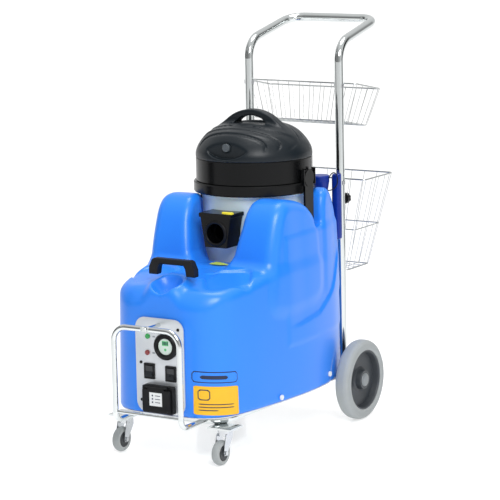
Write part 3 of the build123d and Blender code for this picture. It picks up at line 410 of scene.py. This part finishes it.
def body_field(x, y, z):
    ax = np.abs(x)
    plan = polygon_distance(x[:, :, 0], y[:, :, 0], PLAN)[:, :, None]
    side = plan + draft_at(z)
    # swage line along each side: the wall stands prouder under it
    line_z = np.interp(y, [-170, -140, -51, 38, 119, 158, 235], [356, 358, 363, 374, 412, 453, 560])
    strength = step(-150, -40, y) * (1 - step(190, 240, y)) * step(150, 200, ax)
    side = side + strength * 6.5 * step(-4, 4, z - line_z)
    # deck, falling away towards its two front corners, with a sunken pad in each
    fall = 0.536 * (ax - 41) - 0.843 * (y + 302)
    deck = DECK_Z - 0.21 * np.maximum(fall, 0) * step(25, 75, ax)
    pad = polygon_distance(ax[:, :, 0], y[:, :, 0], [(62, -306), (124, -394), (192, -322), (152, -252)])[:, :, None]
    deck = deck - 8 * (1 - step(-5, 5, pad - 17))
    block = both(side, z - deck, 52 - 24 * step(60, 130, ax) * step(-480, -420, y))
    # ears beside the drum and horns at the rear corners
    ear = smooth_loop([(-222, 420), (-217, 545), (-191, 650), (-160, 714), (-112, 738), (-20, 722), (38, 690),
                       (64, 650), (74, 560), (60, 430), (-80, 400)], 8)
    ear_cut = polygon_distance(y[0], z[0], ear)[None]
    ears = both(side, ear_cut, 34)
    saddle = both(side, np.maximum(box_field(x, y, z, (-300, -150, 300), (300, 262, SADDLE_Z)), z - SADDLE_Z), 14)
    horn = smooth_loop([(94, 430), (97, 560), (100, 640), (116, 716), (150, 739), (192, 726), (232, 672), (254, 600),
                        (266, 520), (262, 430), (180, 400)], 8)
    horn_cut = polygon_distance(y[0], z[0], horn)[None]
    horns = both(side, horn_cut, 22)
    field = either(block, ears, 26)
    field = either(field, saddle, 10)
    field = either(field, horns, 16)
    # lugs that meet the uprights
    lug = box_field(ax, y, z, (151, 259, 560), (178, 282, 765)) - 1
    field = either(field, lug, 8)
    # open middle behind the drum
    field = cut(field, box_field(x, y, z, (-150, 60, SADDLE_Z), (150, 262, 900)), 12)
    # well for the drum
    well = np.maximum(np.hypot(x, y - VAC_Y) - WELL_R, 425 - z)
    field = cut(field, well, 7)
    # mouth between the ears
    mouth_half = np.interp(z, [541, 575, 660, 800], [58, 78, 94, 108])
    mouth = np.maximum(np.maximum(ax - mouth_half, y), 541 - z)
    field = cut(field, np.maximum(mouth, -340 - y), 24)
    # pockets for the side latches
    pocket = box_field(ax, y, z, (150, 29, SADDLE_Z), (202, 95, 900))
    field = cut(field, pocket, 12)
    # finger scoop under the lift handle
    scoop_half = 57 + 0.25 * (z - DECK_Z)
    scoop = (np.sqrt(((x + 2) / scoop_half) ** 2 + ((y + 447) / 54) ** 2 + ((z - 556) / 66) ** 2) - 1) * 46
    field = cut(field, scoop, 7)
    # wheel arches
    arch = np.maximum(np.hypot(y - 236.5, z - 125) - 133, 231 - ax)
    field = cut(field, arch, 9)
    # recess and opening for the control panel
    recess = box_field(x, y, z, (-88, -600, 120), (88, -489.2, 434))
    field = cut(field, recess, 1.5)
    field = cut(field, box_field(x, y, z, (-60, -600, 156), (60, -400, 404)), 1.5)
    # room for the bend of each upright
    field = cut(field, box_field(ax, y, z, (148, 252, 100), (181, 400, 205)), 4)
    return both(field, BODY_Z - z, 5)


BODY_CELL = 4.6
body_points, body_faces = surface_of(body_field, (-256, -506, 130), (256, 300, 778), BODY_CELL)
body = mesh_piece("tank_shell", body_points, body_faces, [BLUE, DARK_BLUE_PAINTED_SHADE], "chassis",
                  ["tank_body"])
# the lugs get the darker blue: painted shade where the rear corner stands in shade
for polygon in body.data.polygons:
    c = polygon.center
    if c.y > 0.252 and c.z > 0.560 and 0.145 < abs(c.x) < 0.185:
        polygon.material_index = 1
relax(body)


# ---------------------------------------------------------------- head dome
DOME = smooth_loop([(0, 700), (174, 700), (179, 800), (180, 843), (178.8, 862), (171.5, 880), (158.5, 899),
                    (139, 919), (113, 934), (80, 943), (40, 947.5), (0, 949), (-40, 947.5), (-80, 943), (-113, 934),
                    (-139, 919), (-158.5, 899), (-171.5, 880), (-178.8, 862), (-180, 843), (-179, 800),
                    (-174, 700)], 6)


def dome_field(x, y, z):
    r = np.hypot(x, y - VAC_Y)
    # the turned outline, looked up in a table over radius and height
    rr = np.linspace(0, 200, 401)
    zz = z[0, 0]
    gu, gv = np.meshgrid(rr, zz, indexing="ij")
    table = polygon_distance(gu, gv, DOME)
    slot_r = np.clip(r / 0.5, 0, 399.99)
    i = slot_r.astype(int)
    f = slot_r - i
    k = np.broadcast_to(np.arange(len(zz))[None, None, :], r.shape)
    outer = table[i, k] * (1 - f) + table[i + 1, k] * f
    # grooves that follow the eye, on the front and round to the sides, and ribs on each flank
    eye = np.maximum(np.hypot(x / 2.65, z - 880), 1)
    slope = np.hypot(x / 2.65 ** 2, z - 880) / eye
    front = step(0, 60, VAC_Y + 10 - y)
    above = step(-2, 14, z - 874)
    groove = np.zeros_like(x)
    for centre, half in ((44, 4.5), (54.5, 4.5), (62, 4.0)):
        groove += 1 - step(0, half, np.abs(eye - centre) / np.maximum(slope, 0.25))
    ribs = np.zeros_like(x)
    angle = np.abs(np.arctan2(x, -(y - VAC_Y))) + (r - 150) * 0.004
    for at in (94, 105, 116):
        ribs += 1 - step(0, 0.03, np.abs(angle - math.radians(at)))
    ribs *= step(92, 112, r) * (1 - step(145, 168, r))
    outer = outer + 3.2 * groove * front * above + 2.0 * ribs * above
    # arched handle with its finger gap
    arch = both(np.maximum(np.hypot(x, z - 849.9) - 137.1, 915 - z), np.abs(y - VAC_Y) - 17, 6)
    field = either(outer, arch, 14)
    hole = np.maximum(np.hypot(x, z - 886) - 82, 940.5 - z)
    hole = np.maximum(hole, np.abs(x) - 56)
    field = cut(field, np.maximum(hole, np.abs(y - VAC_Y) - 40), 3)
    # eye recess with a flat back, the hollow inside with room for that back, and the hole for the button
    recess = np.maximum((eye_recess(x, z) - 1) * 30, y + 104)
    field = cut(field, recess, 3)
    shell_back = np.maximum((eye_recess(x, z) - 1.1) * 30, y + 99)
    hollow = np.maximum(np.maximum(outer + DOME_WALL, -shell_back), z - 936)
    field = np.maximum(field, -hollow)
    button = np.maximum(np.hypot(x, z - BUTTON_Z) - 13.2, y + 70)
    field = np.maximum(field, -button)
    return np.maximum(field, SEAM_Z - z)


def eye_recess(x, z):
    """1 on the outline of the eye round the button, less inside it."""
    return np.sqrt((x / 72) ** 2 + ((z - BUTTON_Z) / 34) ** 2)


DOME_CELL = 2.5
dome_points, dome_faces = surface_of(dome_field, (-186, -134, 838), (186, 240, 992), DOME_CELL)
dome = mesh_piece("dome_shell", dome_points, dome_faces, [HEAD], "motor_head", ["head_dome"])
relax(dome)


# ---------------------------------------------------------------- wire work
def wires(name, runs, body, replaced, mat):
    """Rods along polylines, given as (points, radius, closed)."""
    data = bpy.data.curves.new(name, "CURVE")
    data.dimensions = "3D"
    data.bevel_depth = 0.001
    data.bevel_resolution = 2
    data.use_fill_caps = True
    for points, radius, closed in runs:
        spline = data.splines.new("POLY")
        spline.points.add(len(points) - 1)
        for p, (x, y, z) in zip(spline.points, points):
            p.co = (x * MM, y * MM, z * MM, 1)
            p.radius = radius
        spline.use_cyclic_u = closed
    holder = bpy.data.objects.new(name + "_curve", data)
    bpy.context.scene.collection.objects.link(holder)
    mesh = bpy.data.meshes.new_from_object(holder.evaluated_get(bpy.context.evaluated_depsgraph_get()))
    bpy.data.objects.remove(holder)
    bpy.data.curves.remove(data)
    mesh.name = name
    mesh.materials.clear()
    mesh.materials.append(mat)
    mesh.polygons.foreach_set("use_smooth", [True] * len(mesh.polygons))
    return attach(bpy.data.objects.new(name, mesh), body, replaced)


def rounded(points, r, closed, steps=4):
    """Polyline with its corners rounded."""
    p = [np.array(q, float) for q in points]
    n = len(p)
    out = []
    for i in range(n):
        if not closed and i in (0, n - 1):
            out.append(p[i])
            continue
        a, b, c = p[i - 1], p[i], p[(i + 1) % n]
        ra = min(r, np.linalg.norm(a - b) / 2.1)
        rc = min(r, np.linalg.norm(c - b) / 2.1)
        start = b + (a - b) / np.linalg.norm(a - b) * ra
        end = b + (c - b) / np.linalg.norm(c - b) * rc
        for k in range(steps + 1):
            t = k / steps
            out.append((1 - t) ** 2 * start + 2 * t * (1 - t) * b + t ** 2 * end)
    return out


def basket_runs(origin, y_dir, down, rim, foot, levels, pitch):
    """Rods of a tapered basket. rim and foot are (half width, near, far, depth)."""
    origin, y_dir, down = (np.array(v, float) for v in (origin, y_dir, down))

    def ring(t):
        return [rim[i] + (foot[i] - rim[i]) * t for i in range(4)]

    def at(x, y, d):
        q = origin + y_dir * y + down * d
        return (x, q[1], q[2])

    runs = []
    for t, radius in levels:
        w, near, far, d = ring(t)
        loop = [at(-w, near, d), at(w, near, d), at(w, far, d), at(-w, far, d)]
        runs.append((rounded(loop, 14, True), radius, True))
    w, near, far, d = foot
    count = max(2, int(round(2 * w / pitch)))
    for i in range(count + 1):
        s = -0.96 + 1.92 * i / count
        line = [at(s * rim[0], rim[1], rim[3]), at(s * w, near, d), at(s * w, far, d), at(s * rim[0], rim[2], rim[3])]
        runs.append((rounded(line, 8, False, 3), 0.9, False))
    count = max(2, int(round((far - near) / pitch)))
    for i in range(count + 1):
        s = 0.04 + 0.92 * i / count
        y_rim = rim[1] + (rim[2] - rim[1]) * s
        y_foot = near + (far - near) * s
        line = [at(-rim[0], y_rim, rim[3]), at(-w, y_foot, d), at(w, y_foot, d), at(rim[0], y_rim, rim[3])]
        runs.append((rounded(line, 8, False, 3), 0.9, False))
    return runs


tilt = math.atan2(33, 163)
wires("upper_basket_wires",
      basket_runs((0, 330, 1047), (0, math.cos(tilt), -math.sin(tilt)), (0, -math.sin(tilt), -math.cos(tilt)),
                  (206.5, 3, 163, 3.0), (170, 25, 163, 121.5), ((0, 2.4), (1, 1.6)), 33),
      "chassis", ["upper_basket"], WIRE)
wires("lower_basket_wires",
      basket_runs((0, 318, 747), (0, 1, 0), (0, 0, -1), (240.5, 3, 183, 3.0), (163, 19, 160, 299.5),
                  ((0, 2.6), (0.55, 2.0), (1, 1.6)), 34),
      "chassis", ["lower_basket"], WIRE)

# soft strap from the filler neck over to its cap, fixed where it is drawn
strap = [(150, 240, 748), (158, 242, 762), (166, 244, 772), (174, 246, 774), (181, 247, 766), (184, 248, 752),
         (182, 248, 736), (174, 246, 724), (163, 243, 718), (152, 241, 716)]
wires("cap_strap", [(rounded(strap, 8, False, 3), 1.7, False)],
      ("chassis", "filler_cap", (0.165, 0.243, 0.718), (0.165, 0.243, 0.746)), [], BLACK)


# ---------------------------------------------------------------- labels and small details
def plan_normal():
    """Outward direction at each point of the plan."""
    nxt = np.roll(PLAN, -1, axis=0)
    prv = np.roll(PLAN, 1, axis=0)
    d = nxt - prv
    d /= np.linalg.norm(d, axis=1)[:, None]
    return np.stack([d[:, 1], -d[:, 0]], axis=1)


def plan_at(s):
    """Point and outward direction of the plan, s millimetres along it from the front middle."""
    seg = np.linalg.norm(np.roll(PLAN, -1, axis=0) - PLAN, axis=1)
    start = np.argmin(np.abs(PLAN[:, 0]) + (PLAN[:, 1] - FRONT_Y))
    along = np.concatenate([[0], np.cumsum(np.roll(seg, -start))])
    pts = np.roll(PLAN, -start, axis=0)
    pts = np.vstack([pts, pts[:1]])
    nrm = np.roll(plan_normal(), -start, axis=0)
    nrm = np.vstack([nrm, nrm[:1]])
    p = np.array([np.interp(s, along, pts[:, i]) for i in (0, 1)])
    n = np.array([np.interp(s, along, nrm[:, i]) for i in (0, 1)])
    return p, n / np.linalg.norm(n)


LABEL_STEP = 6.0        # length of one flat piece of a label
LABEL_THICK = 0.8
LABEL_LEAN = -0.07      # slope of the labels along the side
LABEL_MIDDLE = 183      # where along the side that slope is level with the given heights


def patch(name, outline, mats, proud):
    """A thin label that follows the side of the body. outline is (s low, s high, z low, z high, corner),
    with s along the plan, and proud is how far its face stands off the body."""
    s0, s1, z0, z1, corner = outline
    ns = max(2, int((s1 - s0) / LABEL_STEP))
    columns = [s0 + (s1 - s0) * i / ns for i in range(ns + 1)]
    points, faces = [], []

    def height(s, upper):
        inset = 0.0
        for edge in (s - s0, s1 - s):
            if edge < corner:
                inset = max(inset, corner - math.sqrt(max(corner ** 2 - (corner - edge) ** 2, 0)))
        return z1 - inset if upper else z0 + inset

    for layer in (proud, proud - LABEL_THICK):
        for s in columns:
            p, n = plan_at(s)
            for upper in (False, True):
                z = height(s, upper)
                q = p + n * (layer - float(draft_at(np.array(z))))
                points.append((q[0], q[1], z + LABEL_LEAN * (s - LABEL_MIDDLE)))
    m = 2 * len(columns)
    for i in range(ns):
        a = 2 * i
        faces.append((a, a + 2, a + 3, a + 1))
        faces.append((m + a, m + a + 1, m + a + 3, m + a + 2))
        faces.append((a + 1, a + 3, m + a + 3, m + a + 1))
        faces.append((a, m + a, m + a + 2, a + 2))
    faces.append((0, 1, m + 1, m))
    e = 2 * ns
    faces.append((e, m + e, m + e + 1, e + 1))
    return mesh_piece(name, points, faces, mats, "chassis", smooth=False)


S0, S1 = 112.0, 255.0   # ends of the plate, along the plan
patch("side_plate", (S0, S1, 150, 235.5, 3), [PLATE_YELLOW], 1.0)
patch("side_badge", (S0 - 5, S1 - 1, 246, 279, 8), [INK], 0.9)
patch("side_badge_field", (S0 - 2.4, S1 - 3.6, 248.6, 276.4, 6), [BLUE], 1.3)
patch("side_badge_bar", (S0 + 20, S1 - 36, 257, 268, 5), [INK], 1.7)
for row, (z0, width) in enumerate(((163, 60), (172, 112), (181, 112))):
    patch(f"side_plate_line_{row}", (S0 + 14, S0 + 14 + width, z0, z0 + 2.6, 1), [INK], 1.4)
patch("side_plate_mark", (S0 + 13, S0 + 50, 194, 226, 6), [INK], 1.4)
patch("side_plate_mark_field", (S0 + 16, S0 + 47, 197, 223, 4), [PLATE_YELLOW], 1.8)


def slab(name, outline, axis_y, thick, mat, body):
    """Flat label facing forward: outline in (x, z), front face at axis_y."""
    n = len(outline)
    points = [(x, axis_y, z) for x, z in outline] + [(x, axis_y + thick, z) for x, z in outline]
    faces = [tuple(range(n)), tuple(range(2 * n - 1, n - 1, -1))]
    faces += [(i, i + n, (i + 1) % n + n, (i + 1) % n) for i in range(n)]
    return mesh_piece(name, points, faces, [mat], body, smooth=False)


def disc(cx, cz, r, n):
    """Circle of n points in (x, z)."""
    return [(cx + r * math.cos(2 * math.pi * i / n), cz + r * math.sin(2 * math.pi * i / n)) for i in range(n)]


lid_low, lid_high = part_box("socket_lid")
lid_front = lid_low.y * METRE
lid_z = (lid_low.z + lid_high.z) * METRE / 2
slab("lid_label", [(-22, lid_z - 20), (22, lid_z - 20), (22, lid_z + 20), (-22, lid_z + 20)], lid_front - 0.5, 0.9,
     PAPER, "socket_lid")
for row in range(3):
    z = lid_z + 11 - 10 * row
    slab(f"lid_label_line_{row}", [(-2, z - 1), (16, z - 1), (16, z + 1), (-2, z + 1)], lid_front - 0.8, 0.5, INK,
         "socket_lid")
    slab(f"lid_label_dot_{row}", disc(-11, z, 2.6, 16), lid_front - 0.8, 0.5, INK, "socket_lid")

gauge_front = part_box("gauge_body")[0].y * METRE
slab("gauge_screen", [(13, 352), (35, 352), (35, 366), (13, 366)], gauge_front - 0.5, 0.8, DIAL_GREEN, "chassis")
for i in range(4):
    x = 15.5 + 5 * i
    slab(f"gauge_digit_{i}", [(x, 354.5), (x + 3, 354.5), (x + 3, 363.5), (x, 363.5)], gauge_front - 0.8, 0.4, INK,
         "chassis")
slab("gauge_mark", disc(24, 340, 4, 24), gauge_front - 0.5, 0.8, DIAL_GREEN, "chassis")
for label, (x0, z0) in {"upper": (-24, 375), "lower": (-26, 326)}.items():
    slab(f"panel_mark_{label}", [(x0, z0 - 3), (x0 + 9, z0 - 3), (x0 + 9, z0 + 2), (x0, z0 + 2)], PANEL_LABEL_Y, 0.6,
         LABEL_GREY, "chassis")

# socket ring of the hose inlet
RING = [(30.2, 0), (31, -3.2), (35, -4.4), (39, -3.2), (40.5, 0), (40.5, 1.5), (30.2, 1.5)]
TURNS = 64
ring_points, ring_faces = [], []
for i in range(TURNS):
    a = 2 * math.pi * i / TURNS
    for k, (r, depth) in enumerate(RING):
        ring_points.append((r * math.cos(a), INLET_FACE_Y + depth, INLET_Z + r * math.sin(a)))
        near, far = i * len(RING), (i + 1) % TURNS * len(RING)
        k_next = (k + 1) % len(RING)
        ring_faces.append((near + k, far + k, far + k_next, near + k_next))
mesh_piece("inlet_ring", ring_points, ring_faces, [BLACK], "drum")

# dished baffle inside the drum, behind the inlet
RIM_POINTS = 48
rim = [(x, z, x * x + (z - INLET_Z) ** 2) for x, z in disc(0, INLET_Z, BAFFLE_R, RIM_POINTS)]
baffle = [(x, BAFFLE_Y + 0.003 * square, z) for x, z, square in rim]
baffle += [(x * 0.5, BAFFLE_Y + 0.0008 * square, INLET_Z + (z - INLET_Z) * 0.5) for x, z, square in rim]
baffle.append((0, BAFFLE_Y - 1, INLET_Z))
around = [(i, (i + 1) % RIM_POINTS) for i in range(RIM_POINTS)]
mesh_piece("inlet_baffle", baffle,
           [(i, nxt, RIM_POINTS + nxt, RIM_POINTS + i) for i, nxt in around]
           + [(RIM_POINTS + i, RIM_POINTS + nxt, 2 * RIM_POINTS) for i, nxt in around],
           [BLACK], "drum")

# arrow on the deck
arrow = [(2, -160), (4, -124), (34, -132), (64, -150), (34, -160)]
points = [(x - 8, y - 44, 545.9) for x, y in arrow] + [(x - 8, y - 44, 544.0) for x, y in arrow]
n = len(arrow)
mesh_piece("deck_arrow", points, [tuple(range(n - 1, -1, -1)), tuple(range(n, 2 * n))]
           + [(i, (i + 1) % n, (i + 1) % n + n, i + n) for i in range(n)], [PALE_YELLOW], "chassis",
           smooth=False)


# ---------------------------------------------------------------- stage, light and camera
floor_mesh = bpy.data.meshes.new("floor")
floor_mesh.from_pydata([(-30, -30, 0), (30, -30, 0), (30, 30, 0), (-30, 30, 0)], [], [(0, 1, 2, 3)])
floor_mesh.materials.append(material("floor_white", (0.85, 0.85, 0.85, 1), rough=0.07, vary=0.01, blotch=1.5, grain=60,
                                     bump=0.01, rough_vary=0.02, Specular_IOR_Level=0.25,
                                     Emission_Color=(1, 1, 1, 1), Emission_Strength=0.42))
floor = bpy.data.objects.new("floor", floor_mesh)
bpy.context.scene.collection.objects.link(floor)
floor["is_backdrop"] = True

world = bpy.data.worlds.new("studio")
bpy.context.scene.world = world
world.use_nodes = True
sky = world.node_tree
sky.nodes.clear()
# white backdrop; the studio that lights and mirrors in the object has darker flats between bright ones
way = node(sky, "ShaderNodeTexCoord", -900, 0)
parts = node(sky, "ShaderNodeSeparateXYZ", -700, 0)
sky.links.new(way.outputs["Generated"], parts.inputs[0])
bearing = node(sky, "ShaderNodeMath", -500, 100)
bearing.operation = "ARCTAN2"
sky.links.new(parts.outputs["Y"], bearing.inputs[0])
sky.links.new(parts.outputs["X"], bearing.inputs[1])
turn = node(sky, "ShaderNodeMapRange", -300, 100)
turn.inputs["From Min"].default_value = -math.pi
turn.inputs["From Max"].default_value = math.pi
sky.links.new(bearing.outputs[0], turn.inputs["Value"])
flats = node(sky, "ShaderNodeValToRGB", -100, 100)
FLATS = [(-180, 0.35), (-160, 0.06), (-140, 0.06), (-125, 0.25), (-95, 0.3), (-75, 0.4), (-45, 0.5), (-20, 0.85),
         (10, 0.95), (24, 0.06), (48, 0.08), (70, 0.8), (110, 1.0), (150, 0.9)]
for i, (degrees, level) in enumerate(FLATS):
    stop = flats.color_ramp.elements[i] if i < 2 else flats.color_ramp.elements.new(0.99)
    stop.position = (degrees + 180) / 360
    stop.color = (level, level, level, 1)
sky.links.new(turn.outputs[0], flats.inputs[0])
high = node(sky, "ShaderNodeMapRange", -300, -150)
high.inputs["From Min"].default_value = 0.35
high.inputs["From Max"].default_value = 0.85
sky.links.new(parts.outputs["Z"], high.inputs["Value"])
dome_light = node(sky, "ShaderNodeMix", 150, 0)
dome_light.data_type = "RGBA"
dome_light.inputs[7].default_value = (0.95, 0.95, 0.95, 1)
sky.links.new(high.outputs[0], dome_light.inputs[0])
sky.links.new(flats.outputs[0], dome_light.inputs[6])
studio = node(sky, "ShaderNodeBackground", 350, 0, Strength=0.85)
sky.links.new(dome_light.outputs[2], studio.inputs[0])
backdrop = node(sky, "ShaderNodeBackground", 350, 150, Strength=1.0)
backdrop.inputs[0].default_value = (1, 1, 1, 1)
seen = node(sky, "ShaderNodeLightPath", 350, 400)
joined = node(sky, "ShaderNodeMixShader", 600, 0)
sky.links.new(seen.outputs["Is Camera Ray"], joined.inputs[0])
sky.links.new(studio.outputs[0], joined.inputs[1])
sky.links.new(backdrop.outputs[0], joined.inputs[2])
sky.links.new(joined.outputs[0], node(sky, "ShaderNodeOutputWorld", 800, 0).inputs[0])


def lamp(name, at, target, size, power):
    """Soft rectangular lamp, aimed at a point."""
    data = bpy.data.lights.new(name, "AREA")
    data.shape = "RECTANGLE"
    data.size, data.size_y = size
    data.energy = power
    ob = bpy.data.objects.new(name, data)
    ob.location = at
    ob.rotation_euler = (Vector(target) - Vector(at)).to_track_quat("-Z", "Y").to_euler()
    bpy.context.scene.collection.objects.link(ob)


lamp("key", (2.4, -2.6, 3.2), (0, 0, 0.5), (1.6, 1.6), 95)
lamp("fill", (-3.4, -2.2, 2.0), (0, 0, 0.5), (1.6, 2.4), 8)
lamp("top", (0.2, 0.2, 3.6), (0, 0, 0.5), (1.4, 1.4), 40)


def card(name, bearing_deg, width, distance=3.2, height=2.4):
    """Black flat beside the object, seen only in its shiny surfaces."""
    a = math.radians(bearing_deg)
    middle = Vector((math.cos(a), math.sin(a), 0)) * distance
    across = Vector((-math.sin(a), math.cos(a), 0)) * width / 2
    mesh = bpy.data.meshes.new(name)
    corners = [middle - across, middle + across, middle + across + Vector((0, 0, height)),
               middle - across + Vector((0, 0, height))]
    mesh.from_pydata(corners, [], [(0, 1, 2, 3)])
    mesh.materials.append(BLACK)
    ob = bpy.data.objects.new(name, mesh)
    bpy.context.scene.collection.objects.link(ob)
    ob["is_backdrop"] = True
    ob.visible_camera = False
    ob.visible_diffuse = False
    ob.visible_shadow = False


card("flat_left", -152, 0.9)
card("flat_right", 34, 1.1)

LOOK_AT = Vector((-0.0116, 0.0365, 0.548))
DISTANCE = 7.4307
LENS_MM = 172.57
AZIMUTH, ELEVATION, ROLL = math.radians(32.04), math.radians(10.03), math.radians(1.164)
back = Vector((math.sin(AZIMUTH) * math.cos(ELEVATION), -math.cos(AZIMUTH) * math.cos(ELEVATION),
               math.sin(ELEVATION)))
right = Vector((math.cos(AZIMUTH), math.sin(AZIMUTH), 0))
up = back.cross(right)
right_rolled = right * math.cos(ROLL) - up * math.sin(ROLL)
up_rolled = up * math.cos(ROLL) + right * math.sin(ROLL)
camera_data = bpy.data.cameras.new("camera")
camera_data.lens = LENS_MM
camera_data.sensor_width = 36
camera_data.clip_end = 100
camera = bpy.data.objects.new("camera", camera_data)
turned = Matrix((right_rolled, up_rolled, back)).transposed().to_4x4()
turned.translation = LOOK_AT + back * DISTANCE
camera.matrix_world = turned
bpy.context.scene.collection.objects.link(camera)
bpy.context.scene.camera = camera
bpy.context.scene.view_settings.view_transform = "Standard"

low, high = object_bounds()
